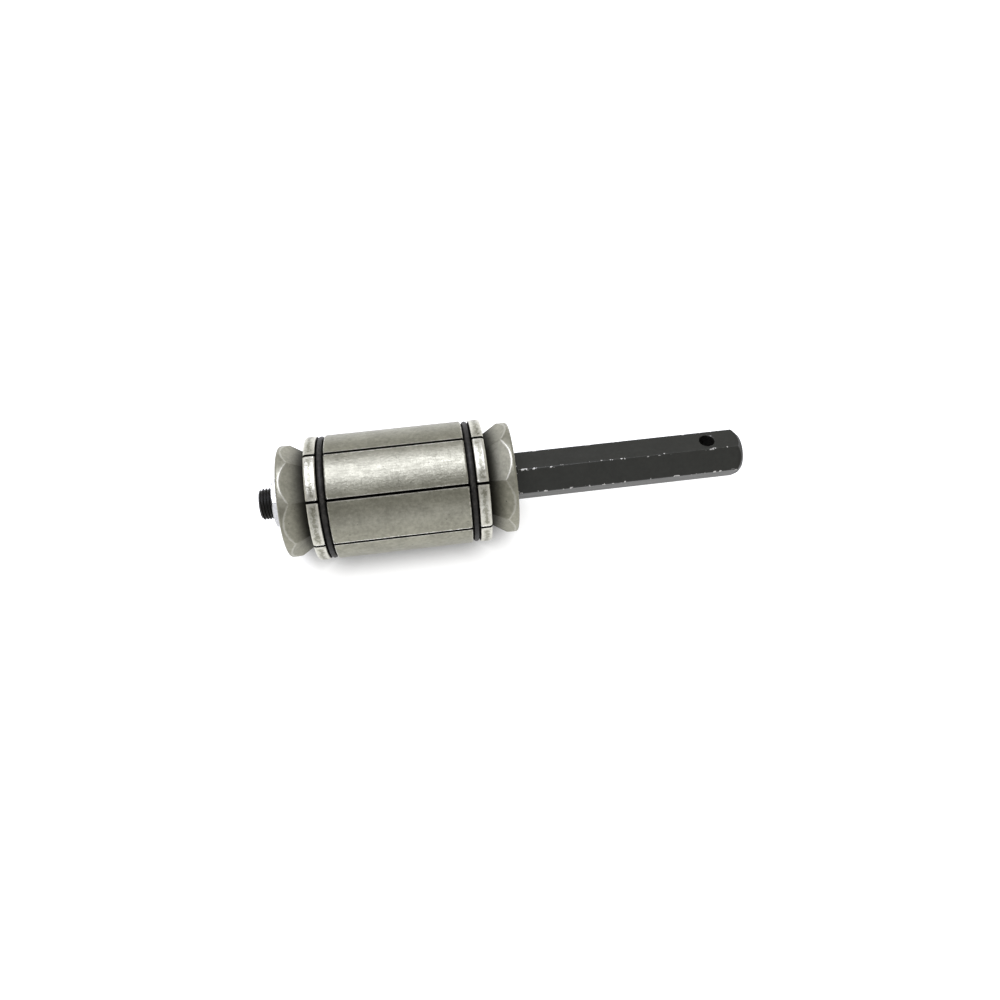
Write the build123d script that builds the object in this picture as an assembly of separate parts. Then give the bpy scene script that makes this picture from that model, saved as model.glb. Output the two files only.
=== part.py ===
"""Exhaust pipe expander: eight jaws forced apart by two octagonal cones on a draw screw.

Frame: origin on the screw's axis, midway along the jaws. +X runs along the axis from the threaded
end to the wrench hexagon, +Z is up, through the middle of jaw_1. The tool is modelled fully closed.
Turning angles about the axis are measured from +Z towards +Y.
"""

import os
from math import cos, radians, sin, sqrt, tan

from build123d import *

# Expanding jaws
jaw_count = 8
closed_diameter = 63.5
open_diameter = 88.9
jaw_length = 89.0
slit_width = 1.0
slit_chamfer = 0.4
jaw_bore_radius = 9.2
flange_width = 6.0
flange_end_round = 1.5
groove_edge_round = 1.0
ramp_angle = 30.0

# Retaining rings and their grooves
ring_section = 3.0
ring_below_surface = 0.35
groove_width = 3.9
groove_floor_gap = 0.14
groove_floor_round = 0.5

# Cones
cone_diameter = 57.2
cone_corner_start = 53.0
cone_face = 58.7
cone_edge_round = 1.5
cone_nose_apothem = 10.2
ramp_clearance = 0.07

# Draw screw, one turned piece of hexagon bar
hexagon = 22.2
hexagon_turn = 24.0
bar_end = 180.5
bar_end_radius = 9.4
bar_end_chamfer_length = 4.0
bar_end_round = 0.9
shoulder_chamfer = 0.7
shank_radius = 7.95
shank_relief_radius = 7.0
thread_diameter = 16.0
thread_pitch = 1.5
thread_end = -70.9
thread_run_out = 2.0
thread_end_chamfer = 1.0

# Hole for a turning bar
cross_hole_radius = 4.0
cross_hole_from_end = 18.3
cross_hole_chamfer = 0.4

# Thrust washer
washer_thickness = 1.5
washer_radius = 11.0
washer_bore_radius = 8.3
washer_chamfer = 0.3
end_play = 0.05

# Draw nut
nut_across_flats = 24.0
nut_thickness = 14.0
nut_proud_of_cone = 5.3
nut_turn = 10.0
nut_face_radius = 11.3
nut_chamfer_length = 1.3
nut_pocket_gap = 0.1
cone_thread_clearance_radius = 8.5
cone_running_radius = 8.03

# Sizes that follow from the ones above
jaw_radius = closed_diameter / 2
half_length = jaw_length / 2
half_pitch_angle = 180.0 / jaw_count
ramp = tan(radians(ramp_angle))
cone_radius = cone_diameter / 2
groove_outer = half_length - flange_width
groove_inner = groove_outer - groove_width
ring_axis_radius = jaw_radius - ring_below_surface - ring_section / 2
groove_floor = ring_axis_radius - ring_section / 2 - groove_floor_gap
corner_apothem = cone_radius * cos(radians(half_pitch_angle))
cone_nose = cone_corner_start - (corner_apothem - cone_nose_apothem) / ramp
thread_core_radius = thread_diameter / 2 - 0.6134 * thread_pitch
nut_bore_radius = thread_diameter / 2 - 0.5413 * thread_pitch
nut_outer_face = cone_face + nut_proud_of_cone
nut_inner_face = nut_outer_face - nut_thickness
shoulder = cone_face + washer_thickness + end_play
cone_travel = (open_diameter - closed_diameter) / ramp
thread_start = cone_travel - nut_inner_face + thread_run_out


def cone_apothem(x: float) -> float:
    """Distance from the axis to a cone's flats at a distance x from the tool's middle."""
    return corner_apothem + (x - cone_corner_start) * ramp


def turned(*corners: tuple, radii: list | None = None) -> Part:
    """Solid of revolution about X from a half section of (x, radius) corners."""
    with BuildSketch(Plane.XZ) as section:
        with BuildLine():
            if radii:
                edge = FilletPolyline(*corners, radius=radii)
                Line(edge @ 1, edge @ 0)
            else:
                Polyline(*corners, close=True)
        make_face()
    return revolve(section.sketch, axis=Axis.X)


def prism(sides: int, apothem: float, turn: float, start: float, end: float) -> Part:
    """Regular prism about X, with the middle of one flat at the angle turn from +Z towards +Y."""
    corner_radius = apothem / cos(radians(180.0 / sides))
    corner_angle = 90.0 - turn + 180.0 / sides
    section = Plane.YZ.offset(start) * RegularPolygon(corner_radius, sides, rotation=corner_angle)
    return extrude(section, amount=end - start, dir=(1, 0, 0))


def bore(radius: float, start: float, end: float) -> Part:
    """Cylinder along X, for cutting a hole."""
    return Plane.YZ.offset(start) * Cylinder(radius, end - start, align=(Align.CENTER, Align.CENTER, Align.MIN))


def side_point(radius: float, inset: float) -> tuple:
    """Point in the YZ plane on a jaw's side, set back from the plane between two jaws."""
    a = radians(half_pitch_angle)
    return (radius * sin(a) - inset * cos(a), radius * cos(a) + inset * sin(a))


def jaw_ring() -> Part:
    """The eight jaws' common outside: land, ring grooves and end flanges, turned in one piece."""
    half = [
        (groove_inner, jaw_radius),
        (groove_inner, groove_floor),
        (groove_outer, groove_floor),
        (groove_outer, jaw_radius),
        (half_length, jaw_radius),
        (half_length, jaw_bore_radius / 2),
    ]
    rounds = [
        groove_edge_round,
        groove_floor_round,
        groove_floor_round,
        groove_edge_round,
        flange_end_round,
    ]
    left = [(-x, r) for x, r in reversed(half)]
    return turned(*left, *half, radii=rounds[::-1] + rounds)


def make_jaw() -> Part:
    """One jaw at the top: a 45 degree slice of the ring, with two flat ramps inside."""
    slit = slit_width / 2
    outside = 3.0
    flank = [
        (0.0, slit / sin(radians(half_pitch_angle))),
        side_point(jaw_radius - slit_chamfer, slit),
        side_point(jaw_radius + outside, slit + slit_chamfer + outside),
    ]
    crown = (0.0, jaw_radius + 2 * outside)
    mirrored = [(-y, z) for y, z in reversed(flank[1:])]
    slice_section = Plane.YZ * make_face(Polyline(*flank, crown, *mirrored, close=True))
    wedge = extrude(slice_section, amount=half_length, both=True)

    ramp_end = cone_apothem(half_length) + ramp_clearance
    ramp_middle = cone_apothem(0.0) + ramp_clearance
    top = jaw_radius + outside
    side_section = Plane.XZ * make_face(
        Polyline(
            (-half_length, ramp_end),
            (0.0, ramp_middle),
            (half_length, ramp_end),
            (half_length, top),
            (-half_length, top),
            close=True,
        )
    )
    ramps = extrude(side_section, amount=jaw_radius, both=True)
    jaw = jaw_ring() & wedge & ramps
    return jaw - bore(jaw_bore_radius, -half_length, half_length)


def make_cone() -> Part:
    """Octagonal cone body on the +X side, still without its bore."""
    body = turned(
        (cone_nose, 0.0),
        (cone_nose, cone_radius),
        (cone_face, cone_radius),
        (cone_face, 0.0),
        radii=[cone_edge_round, cone_edge_round],
    )
    ends = [
        Plane.YZ.offset(x)
        * RegularPolygon(
            cone_apothem(x) / cos(radians(half_pitch_angle)),
            jaw_count,
            rotation=half_pitch_angle,
        )
        for x in (cone_nose, cone_face)
    ]
    return body & loft(ends)


def make_rear_cone() -> Part:
    """Cone on the bar's side: the screw's shank turns in its bore."""
    return make_cone() - bore(cone_running_radius, cone_nose - 1, cone_face + 1)


def make_front_cone() -> Part:
    """Cone on the threaded side, with a hexagonal pocket that keeps the nut from turning."""
    cone = mirror(make_cone(), about=Plane.YZ)
    pocket_apothem = nut_across_flats / 2 + nut_pocket_gap
    pocket = prism(6, pocket_apothem, nut_turn, -cone_face - 1, -nut_inner_face)
    return cone - pocket - bore(cone_thread_clearance_radius, -cone_face, -cone_nose + 1)


def make_draw_nut() -> Part:
    """Hexagon nut, chamfered at both faces and at both mouths of its thread."""
    corner = nut_across_flats / sqrt(3) + 0.5
    envelope = turned(
        (-nut_outer_face, 0.0),
        (-nut_outer_face, nut_face_radius),
        (-nut_outer_face + nut_chamfer_length, corner),
        (-nut_inner_face - nut_chamfer_length, corner),
        (-nut_inner_face, nut_face_radius),
        (-nut_inner_face, 0.0),
    )
    hexagon_body = prism(6, nut_across_flats / 2, nut_turn, -nut_outer_face, -nut_inner_face)
    mouth = thread_diameter / 2 + 0.15
    depth = mouth - nut_bore_radius
    hole = turned(
        (-nut_outer_face, 0.0),
        (-nut_outer_face, mouth),
        (-nut_outer_face + depth, nut_bore_radius),
        (-nut_inner_face - depth, nut_bore_radius),
        (-nut_inner_face, mouth),
        (-nut_inner_face, 0.0),
    )
    return (hexagon_body & envelope) - hole


def make_thrust_washer() -> Part:
    """Hardened flat washer between the rear cone and the bar's shoulder."""
    start = cone_face
    end = cone_face + washer_thickness
    return turned(
        (start, washer_bore_radius),
        (start, washer_radius - washer_chamfer),
        (start + washer_chamfer, washer_radius),
        (end - washer_chamfer, washer_radius),
        (end, washer_radius - washer_chamfer),
        (end, washer_bore_radius),
    )


def make_drive_screw() -> Part:
    """Hexagon bar with its front end turned down to a plain shank and a threaded core."""
    hex_corner = hexagon / sqrt(3)
    clear = hex_corner + 0.4
    envelope = turned(
        (shoulder, 0.0),
        (shoulder, hex_corner - shoulder_chamfer),
        (shoulder + clear - hex_corner + shoulder_chamfer, clear),
        (bar_end - bar_end_chamfer_length, clear),
        (bar_end, bar_end_radius),
        (bar_end, 0.0),
        radii=[0.2, 0.2, 0.6, bar_end_round],
    )
    bar = prism(6, hexagon / 2, hexagon_turn, shoulder, bar_end) & envelope

    tip = thread_end + thread_end_chamfer
    spindle = turned(
        (thread_end, 0.0),
        (thread_end, thread_core_radius - thread_end_chamfer / 2),
        (tip, thread_core_radius),
        (thread_start, thread_core_radius),
        (thread_start, shank_relief_radius),
        (thread_start + 2, shank_relief_radius),
        (thread_start + 3, shank_radius),
        (shoulder + 1, shank_radius),
        (shoulder + 1, 0.0),
    )

    hole_x = bar_end - cross_hole_from_end
    turn = radians(hexagon_turn)
    hole_plane = Plane(origin=(hole_x, 0, 0), x_dir=(1, 0, 0), z_dir=(0, sin(turn), cos(turn)))
    mouth = cross_hole_radius + cross_hole_chamfer
    countersink = Cone(cross_hole_radius, mouth, cross_hole_chamfer)
    seat = hexagon / 2 - cross_hole_chamfer / 2
    hole = Cylinder(cross_hole_radius, 2 * hexagon)
    hole += Pos(Z=seat) * countersink
    hole += Pos(Z=-seat) * Rot(X=180) * countersink
    return bar + spindle - hole_plane * hole


def make_ring(x: float) -> Part:
    """Round-section rubber ring that lies in the jaws' grooves at x."""
    return Plane.YZ.offset(x) * Torus(ring_axis_radius, ring_section / 2)


def main() -> None:
    """Build every piece and write it to parts/."""
    ring_x = (groove_inner + groove_outer) / 2
    jaw = make_jaw()
    pieces = {
        "drive_screw": make_drive_screw(),
        "thrust_washer": make_thrust_washer(),
        "rear_cone": make_rear_cone(),
        "front_cone": make_front_cone(),
        "draw_nut": make_draw_nut(),
        "front_o_ring": make_ring(-ring_x),
        "rear_o_ring": make_ring(ring_x),
    }
    for number in range(jaw_count):
        turn = number * 2 * half_pitch_angle
        pieces[f"jaw_{number + 1}"] = Rot(X=-turn) * jaw

    os.makedirs("parts", exist_ok=True)
    for name, piece in pieces.items():
        piece.label = name
        export_step(piece, f"parts/{name}.step")


main()
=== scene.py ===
"""Looks of the exhaust pipe expander: turned steel jaws and cones, a blackened drive screw, a zinc nut.

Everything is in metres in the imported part's own frame: +X runs along the screw from its threaded end
to the wrench hexagon, +Z is up. Angles about the axis are measured from +Z towards +Y.
"""

import logging
from collections.abc import Sequence
from dataclasses import dataclass
from enum import Enum
from math import atan2, ceil, cos, pi, radians, sin, sqrt, tan

import bmesh
import bpy
from mathutils import Matrix, Vector


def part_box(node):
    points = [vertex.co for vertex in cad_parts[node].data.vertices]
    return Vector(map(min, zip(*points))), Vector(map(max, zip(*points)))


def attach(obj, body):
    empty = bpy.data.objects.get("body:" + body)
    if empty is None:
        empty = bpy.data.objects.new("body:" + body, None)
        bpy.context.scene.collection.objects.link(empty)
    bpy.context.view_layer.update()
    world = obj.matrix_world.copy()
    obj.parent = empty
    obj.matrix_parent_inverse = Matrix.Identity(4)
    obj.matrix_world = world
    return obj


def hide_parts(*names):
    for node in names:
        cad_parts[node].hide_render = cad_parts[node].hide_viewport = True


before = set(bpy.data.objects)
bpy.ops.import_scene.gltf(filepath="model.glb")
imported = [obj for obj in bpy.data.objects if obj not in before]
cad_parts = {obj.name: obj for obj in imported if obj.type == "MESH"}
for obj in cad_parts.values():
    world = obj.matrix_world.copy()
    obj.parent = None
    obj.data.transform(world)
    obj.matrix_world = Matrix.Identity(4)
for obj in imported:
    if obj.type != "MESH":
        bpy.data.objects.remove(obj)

LOG = logging.getLogger("pipe_expander")

MM = 0.001
AXIS = (1.0, 0.0, 0.0)
ORIGIN = (0.0, 0.0, 0.0)
MERGE = 1e-7
FULL_TURN = 2 * pi
HEXAGON_SIDES = 6


class Side(Enum):
    """End of the tool that a piece sits on."""

    FRONT = -1
    REAR = 1


class Shape:
    """A mesh in the making, shaped by bmesh operators about the tool's axis."""

    def __init__(self, bm: bmesh.types.BMesh | None = None) -> None:
        """Starts with an empty mesh, or with one begun elsewhere."""
        self.bm = bm or bmesh.new()

    @classmethod
    def spun(
        cls,
        outline: Sequence[tuple[float, float]],
        steps: int,
        start: float = 0.0,
        sweep: float = FULL_TURN,
        closed: bool = True,
        advance: float = 0.0,
    ) -> "Shape":
        """Spins an outline about the axis.

        Args:
            outline: Corners as (x, radius).
            steps: Number of segments in the sweep.
            start: Angle at which the outline stands before it is spun.
            sweep: Angle that it is spun through.
            closed: Whether the last corner joins the first.
            advance: Distance that each step moves along the axis, for a helix.

        Returns:
            The spun shape, with its doubles merged.
        """
        shape = cls()
        verts = [shape.bm.verts.new((x, r * sin(start), r * cos(start))) for x, r in outline]
        pairs = list(zip(verts, verts[1:]))
        if closed:
            pairs.append((verts[-1], verts[0]))
        edges = [shape.bm.edges.new(pair) for pair in pairs]
        bmesh.ops.spin(
            shape.bm,
            geom=verts + edges,
            cent=ORIGIN,
            axis=AXIS,
            dvec=(advance, 0.0, 0.0),
            angle=-sweep if advance == 0.0 else sweep,
            steps=steps,
            use_merge=sweep == FULL_TURN,
            use_duplicate=False,
        )
        shape.tidy()
        return shape

    def tidy(self) -> None:
        """Merges doubles and removes edges and faces with no size."""
        bmesh.ops.remove_doubles(self.bm, verts=self.bm.verts[:], dist=MERGE)
        bmesh.ops.dissolve_degenerate(self.bm, edges=self.bm.edges[:], dist=MERGE)

    def cut(self, point: Vector, normal: Vector) -> None:
        """Cuts away what lies beyond a plane and closes the cut.

        Args:
            point: A point on the plane.
            normal: The plane's normal, towards the side that goes.
        """
        geom = self.bm.verts[:] + self.bm.edges[:] + self.bm.faces[:]
        bmesh.ops.bisect_plane(
            self.bm, geom=geom, dist=MERGE, plane_co=point, plane_no=normal, clear_outer=True
        )
        rim = [edge for edge in self.bm.edges if edge.is_boundary]
        on_plane = [
            edge
            for edge in rim
            if all(abs((vert.co - point).dot(normal)) < 10 * MERGE for vert in edge.verts)
        ]
        if on_plane:
            bmesh.ops.contextual_create(self.bm, geom=on_plane)

    def cut_hexagon(self, across: float, turn: float) -> None:
        """Cuts six flats about the axis.

        Args:
            across: Width across the flats.
            turn: Angle of the first flat.
        """
        for number in range(HEXAGON_SIDES):
            out = outward(turn + number * FULL_TURN / HEXAGON_SIDES)
            self.cut(out * across / 2, out)

    def turned(self, angle: float) -> "Shape":
        """Turns the shape about the axis, from +Z towards +Y."""
        bmesh.ops.rotate(self.bm, verts=self.bm.verts[:], cent=ORIGIN, matrix=Matrix.Rotation(-angle, 3, "X"))
        return self

    def mirrored(self) -> "Shape":
        """Turns the shape end for end about the tool's middle."""
        bmesh.ops.scale(self.bm, verts=self.bm.verts[:], vec=(-1.0, 1.0, 1.0))
        return self

    def mesh(self, name: str) -> bpy.types.Mesh:
        """Closes the bmesh into a smooth-shaded mesh whose faces point outwards.

        Args:
            name: The mesh's name.

        Returns:
            The mesh.
        """
        bmesh.ops.recalc_face_normals(self.bm, faces=self.bm.faces[:])
        mesh = bpy.data.meshes.new(name)
        self.bm.to_mesh(mesh)
        self.bm.free()
        mesh.shade_smooth()
        return mesh


def rounded(
    corners: Sequence[tuple[float, float]], radii: Sequence[float], steps: int = 4
) -> list[tuple[float, float]]:
    """Rounds the inner corners of an open outline.

    Args:
        corners: The outline's corners as (x, radius).
        radii: One rounding for each corner but the first and last.
        steps: Segments in each rounding.

    Returns:
        The outline's points.
    """
    spots = [Vector(corner) for corner in corners]
    points = [spots[0]]
    for before, corner, after, radius in zip(spots, spots[1:], spots[2:], radii):
        back = (before - corner).normalized()
        ahead = (after - corner).normalized()
        half = back.angle(ahead) / 2
        reach = radius / tan(half)
        centre = corner + (back + ahead).normalized() * radius / sin(half)
        arm = corner + back * reach - centre
        far = corner + ahead * reach - centre
        sweep = atan2(arm.x * far.y - arm.y * far.x, arm.dot(far))
        for step in range(steps + 1):
            angle = sweep * step / steps
            points.append(centre + Matrix.Rotation(angle, 2) @ arm)
    points.append(spots[-1])
    return [(point.x, point.y) for point in points]


def outward(angle: float) -> Vector:
    """Unit vector away from the axis, at an angle from +Z towards +Y."""
    return Vector((0.0, sin(angle), cos(angle)))


def add_object(name: str, data: bpy.types.ID) -> bpy.types.Object:
    """Makes an object and links it to the scene.

    Args:
        name: The object's name.
        data: Its mesh, light or camera.

    Returns:
        The object.
    """
    made = bpy.data.objects.new(name, data)
    bpy.context.scene.collection.objects.link(made)
    return made


@dataclass(frozen=True)
class Edges:
    """How a piece's sharp edges are broken."""

    width: float
    segments: int = 2
    limit: float = radians(28.0)

    def dress(self, piece: bpy.types.Object) -> None:
        """Adds the modifiers that round the edges and keep flats flat.

        Args:
            piece: The piece to dress.
        """
        bevel = piece.modifiers.new("broken_edges", "BEVEL")
        bevel.width = self.width
        bevel.segments = self.segments
        bevel.limit_method = "ANGLE"
        bevel.angle_limit = self.limit
        bevel.use_clamp_overlap = False
        bevel.miter_outer = "MITER_ARC"
        weight = piece.modifiers.new("flat_flats", "WEIGHTED_NORMAL")
        weight.keep_sharp = True


def place(
    mesh: bpy.types.Mesh,
    body: str,
    material: bpy.types.Material,
    stands_for: Sequence[str] = (),
    edges: Edges | None = None,
) -> bpy.types.Object:
    """Makes a mesh a piece of the tool.

    Args:
        mesh: The finished mesh, in place; its name becomes the piece's.
        body: The body that the piece rides on.
        material: The piece's finish.
        stands_for: Nodes that the piece replaces.
        edges: How its edges are broken, where they are.

    Returns:
        The piece.
    """
    piece = add_object(mesh.name, mesh)
    mesh.materials.append(material)
    if edges:
        edges.dress(piece)
    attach(piece, body)
    if stands_for:
        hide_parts(*stands_for)
    LOG.info("%s rides on %s, %d faces", piece.name, body, len(mesh.polygons))
    return piece


Colour = tuple[float, float, float]
Span = tuple[float, float]
Socket = bpy.types.NodeSocket | float | Sequence[float]


@dataclass(frozen=True)
class Speckle:
    """A noise pattern: its scale per metre, its detail and how rough that detail is."""

    scale: float
    detail: float
    roughness: float = 0.5


class Graph:
    """Short names for building shader nodes."""

    MIX_FIRST = 6
    MIX_SECOND = 7
    MIX_RESULT = 2

    def __init__(self, tree: bpy.types.NodeTree) -> None:
        """Starts on an empty tree."""
        self.tree = tree
        tree.nodes.clear()

    def node(self, kind: str, **settings: object) -> bpy.types.Node:
        """Adds a node and sets its properties.

        Args:
            kind: The node's type.
            **settings: The node's properties.

        Returns:
            The node.
        """
        node = self.tree.nodes.new(kind)
        for name, value in settings.items():
            setattr(node, name, value)
        return node

    def feed(self, socket: bpy.types.NodeSocket, source: Socket) -> None:
        """Links a socket to a source, or sets it to a plain value.

        Args:
            socket: The input to feed.
            source: An output, or a value.
        """
        if isinstance(source, bpy.types.NodeSocket):
            self.tree.links.new(source, socket)
        else:
            socket.default_value = source

    def math(self, operation: str, *inputs: Socket, clamp: bool = False) -> bpy.types.NodeSocket:
        """Adds a Math node.

        Args:
            operation: What it works out.
            *inputs: Its inputs in order.
            clamp: Whether the value is kept between 0 and 1.

        Returns:
            The value.
        """
        node = self.node("ShaderNodeMath", operation=operation, use_clamp=clamp)
        for socket, source in zip(node.inputs, inputs):
            self.feed(socket, source)
        return node.outputs[0]

    def vector(self, operation: str, *inputs: Socket) -> bpy.types.NodeSocket:
        """Adds a Vector Math node.

        Args:
            operation: What it works out.
            *inputs: Its inputs in order.

        Returns:
            The vector.
        """
        node = self.node("ShaderNodeVectorMath", operation=operation)
        for socket, source in zip(node.inputs, inputs):
            self.feed(socket, source)
        return node.outputs[0]

    def noise(self, vector: Socket, speckle: Speckle) -> bpy.types.NodeSocket:
        """Adds a Noise texture.

        Args:
            vector: Where it is read.
            speckle: The pattern.

        Returns:
            The value, from 0 to 1.
        """
        node = self.node("ShaderNodeTexNoise")
        self.feed(node.inputs["Vector"], vector)
        node.inputs["Scale"].default_value = speckle.scale
        node.inputs["Detail"].default_value = speckle.detail
        node.inputs["Roughness"].default_value = speckle.roughness
        return node.outputs[0]

    def ramp(
        self, value: Socket, low: float, high: float, to_low: float = 0.0, to_high: float = 1.0
    ) -> bpy.types.NodeSocket:
        """Maps a range of values smoothly onto another and stops at its ends.

        Args:
            value: The value to map.
            low: Where the range begins.
            high: Where the range ends.
            to_low: What the beginning maps to.
            to_high: What the end maps to.

        Returns:
            The mapped value.
        """
        node = self.node("ShaderNodeMapRange", interpolation_type="SMOOTHSTEP")
        self.feed(node.inputs["Value"], value)
        for name, number in (("From Min", low), ("From Max", high), ("To Min", to_low), ("To Max", to_high)):
            node.inputs[name].default_value = number
        return node.outputs[0]

    def gap(self, first: Socket, second: Socket) -> bpy.types.NodeSocket:
        """Adds nodes for how far apart two values are."""
        return self.math("ABSOLUTE", self.math("SUBTRACT", first, second))

    def fade(self, value: Socket, span: Span) -> bpy.types.NodeSocket:
        """Falls smoothly from 1 to 0 over a span."""
        return self.ramp(value, *span, 1.0, 0.0)

    def spot(self) -> bpy.types.NodeSocket:
        """Adds the object's own coordinates, in metres."""
        return self.node("ShaderNodeTexCoord").outputs["Object"]

    def blend(self, factor: Socket, first: Socket, second: Socket) -> bpy.types.NodeSocket:
        """Mixes two colours.

        Args:
            factor: The share of the second colour.
            first: The first colour.
            second: The second colour.

        Returns:
            The mixed colour.
        """
        node = self.node("ShaderNodeMix", data_type="RGBA")
        self.feed(node.inputs["Factor"], factor)
        self.feed(node.inputs[self.MIX_FIRST], first)
        self.feed(node.inputs[self.MIX_SECOND], second)
        return node.outputs[self.MIX_RESULT]

    def use(self, group: bpy.types.NodeTree, **inputs: Socket) -> bpy.types.Node:
        """Places a node group and feeds its inputs.

        Args:
            group: The group.
            **inputs: Its inputs; an underscore in a name stands for a space.

        Returns:
            The group's node.
        """
        node = self.node("ShaderNodeGroup")
        node.node_tree = group
        for name, source in inputs.items():
            self.feed(node.inputs[name.replace("_", " ")], source)
        return node


class SharedEffects:
    """Node groups that more than one finish uses."""

    BROAD_CLOUDS = Speckle(90.0, 4.0, 0.6)
    FINE_CLOUDS = Speckle(520.0, 3.0, 0.65)
    FINE_CLOUD_SHARE = 0.55
    DRAWN_LINES = Speckle(1500.0, 3.0, 0.65)
    LINE_HEIGHT = 0.09
    PIT_SPOTS = Speckle(620.0, 2.0)
    PIT_SPAN = (0.7, 0.8)
    PIT_DEPTH = 0.3
    GRAIN = Speckle(2600.0, 2.0, 0.6)
    GRAIN_HEIGHT = 0.08
    DENT_SPOTS = Speckle(880.0, 4.0, 0.68)
    EDGE_PATCHES = Speckle(700.0, 3.0, 0.65)
    PATCH_SPAN = (0.3, 0.7)
    EDGE_REACH = (0.45, 1.1)
    EDGE_FADE = 0.7

    def __init__(self) -> None:
        """Builds each group once."""
        self.polar = self._polar()
        self.steel_skin = self._steel_skin()
        self.broken_edge = self._broken_edge()

    @staticmethod
    def _group(name: str, inputs: dict[str, str], outputs: dict[str, str]) -> tuple[Graph, dict, dict]:
        """Starts a group with named sockets.

        Args:
            name: The group's name.
            inputs: Socket names and types.
            outputs: Socket names and types.

        Returns:
            The group's graph, its input sockets and its output sockets by name.
        """
        tree = bpy.data.node_groups.new(name, "ShaderNodeTree")
        for in_out, sockets in (("INPUT", inputs), ("OUTPUT", outputs)):
            for socket, kind in sockets.items():
                tree.interface.new_socket(name=socket, in_out=in_out, socket_type=kind)
        graph = Graph(tree)
        entry = graph.node("NodeGroupInput")
        leave = graph.node("NodeGroupOutput")
        return graph, entry.outputs, leave.inputs

    def _polar(self) -> bpy.types.NodeTree:
        """Place along the axis and radius in mm, and angle from the middle of the sector.

        Returns:
            The group, whose inputs are the number of sectors and the angle of the first.
        """
        graph, given, out = self._group(
            "polar_place",
            {"Sectors": "NodeSocketFloat", "Turn": "NodeSocketFloat"},
            {
                "Along": "NodeSocketFloat",
                "Radius": "NodeSocketFloat",
                "From Middle": "NodeSocketFloat",
            },
        )
        spot = graph.spot()
        split = graph.node("ShaderNodeSeparateXYZ")
        graph.feed(split.inputs[0], graph.vector("MULTIPLY", spot, (1 / MM,) * 3))
        x, y, z = split.outputs
        squares = [graph.math("MULTIPLY", across, across) for across in (y, z)]
        radius = graph.math("SQRT", graph.math("ADD", *squares))
        angle = graph.math("SUBTRACT", graph.math("ARCTAN2", y, z), given["Turn"])
        width = graph.math("DIVIDE", FULL_TURN, given["Sectors"])
        half = graph.math("DIVIDE", width, 2.0)
        folded = graph.math("FLOORED_MODULO", graph.math("ADD", angle, half), width)
        middle = graph.gap(folded, half)
        for name, source in (("Along", x), ("Radius", radius), ("From Middle", middle)):
            graph.feed(out[name], source)
        return graph.tree

    def _steel_skin(self) -> bpy.types.NodeTree:
        """Cloudy tone, soft dents, drawn lines and small pits on steel, from object coordinates.

        Returns:
            The group, whose inputs are the stretch of the lines and the depth of the dents.
        """
        graph, given, out = self._group(
            "steel_skin",
            {"Line Stretch": "NodeSocketFloat", "Dents": "NodeSocketFloat"},
            {
                "Cloud": "NodeSocketFloat",
                "Lines": "NodeSocketFloat",
                "Pits": "NodeSocketFloat",
                "Height": "NodeSocketFloat",
            },
        )
        spot = graph.spot()
        broad = graph.math("MULTIPLY", graph.noise(spot, self.BROAD_CLOUDS), 1.0 - self.FINE_CLOUD_SHARE)
        cloud = graph.math("MULTIPLY_ADD", graph.noise(spot, self.FINE_CLOUDS), self.FINE_CLOUD_SHARE, broad)
        combine = graph.node("ShaderNodeCombineXYZ")
        graph.feed(combine.inputs[0], graph.math("DIVIDE", 1.0, given["Line Stretch"]))
        combine.inputs[1].default_value = 1.0
        combine.inputs[2].default_value = 1.0
        drawn = graph.vector("MULTIPLY", spot, combine.outputs[0])
        lines = graph.noise(drawn, self.DRAWN_LINES)
        pits = graph.ramp(graph.noise(spot, self.PIT_SPOTS), *self.PIT_SPAN)
        grain = graph.math("MULTIPLY", graph.noise(spot, self.GRAIN), self.GRAIN_HEIGHT)
        height = graph.math("MULTIPLY_ADD", lines, self.LINE_HEIGHT, grain)
        height = graph.math("SUBTRACT", height, graph.math("MULTIPLY", pits, self.PIT_DEPTH))
        height = graph.math("MULTIPLY_ADD", graph.noise(spot, self.DENT_SPOTS), given["Dents"], height)
        for name, source in (("Cloud", cloud), ("Lines", lines), ("Pits", pits), ("Height", height)):
            graph.feed(out[name], source)
        return graph.tree

    def _broken_edge(self) -> bpy.types.NodeTree:
        """Uneven bright wear that fades with distance from an edge.

        Returns:
            The group, whose inputs are the distance and the width of the wear in mm.
        """
        graph, given, out = self._group(
            "broken_edge",
            {"Distance": "NodeSocketFloat", "Width": "NodeSocketFloat"},
            {"Mask": "NodeSocketFloat"},
        )
        spot = graph.spot()
        uneven = graph.ramp(graph.noise(spot, self.EDGE_PATCHES), *self.PATCH_SPAN, *self.EDGE_REACH)
        reach = graph.math("MULTIPLY", given["Width"], uneven)
        near = graph.math("SUBTRACT", 1.0, graph.math("DIVIDE", given["Distance"], reach), clamp=True)
        graph.feed(out["Mask"], graph.math("POWER", near, self.EDGE_FADE))
        return graph.tree


def new_material(name: str) -> tuple[bpy.types.Material, Graph, bpy.types.Node]:
    """Makes a material with a Principled shader.

    Args:
        name: The material's name.

    Returns:
        The material, its graph and the shader node.
    """
    material = bpy.data.materials.new(name)
    material.use_nodes = True
    graph = Graph(material.node_tree)
    output = graph.node("ShaderNodeOutputMaterial")
    shader = graph.node("ShaderNodeBsdfPrincipled")
    graph.feed(output.inputs["Surface"], shader.outputs[0])
    return material, graph, shader


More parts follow.
